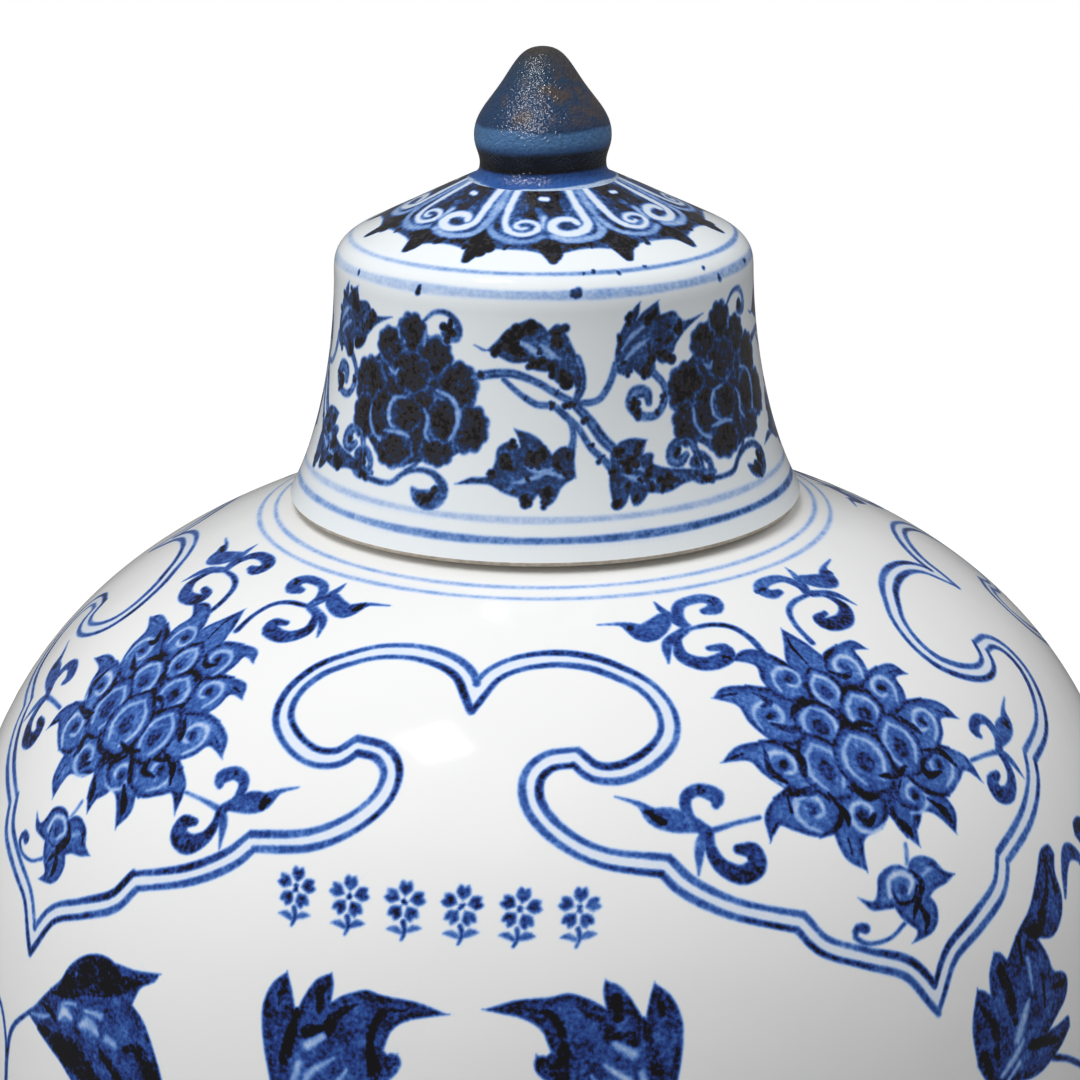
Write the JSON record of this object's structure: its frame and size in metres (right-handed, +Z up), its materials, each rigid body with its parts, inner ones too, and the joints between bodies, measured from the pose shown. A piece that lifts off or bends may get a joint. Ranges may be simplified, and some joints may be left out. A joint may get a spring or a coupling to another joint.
{
  "type": "covered jar",
  "caption": "Tall wide-shouldered porcelain jar painted in blue, with a short neck and a lift-off bell-shaped lid with a bud finial.",
  "frame": {"origin": "centre of the foot ring, on the face the jar stands on", "axes": "+Z up along the jar's axis of revolution, from the foot to the finial"},
  "size_m": [0.3274, 0.3274, 0.6175],
  "materials": {
    "painted_porcelain": "clear glossy glaze over cobalt painting on a cool white body",
    "plain_porcelain": "clear glossy glaze on a cool white body, bare clay where it touches",
    "blue_porcelain": "glossy glaze over a dark mottled cobalt wash with brown iron spots"
  },
  "bodies": {
    "jar": {"base_section": "painted_porcelain", "belly_section": "painted_porcelain", "shoulder_section": "painted_porcelain", "neck": "plain_porcelain"},
    "lid": {"lid_bell": "painted_porcelain", "lid_locating_tube": "plain_porcelain", "lid_finial": "blue_porcelain"}
  },
  "joints": [
    {"name": "lid_lift", "type": "slide", "parent": "jar", "child": "lid", "axis": [0, 0, 1], "range_m": [0, 0.06]}
  ]
}
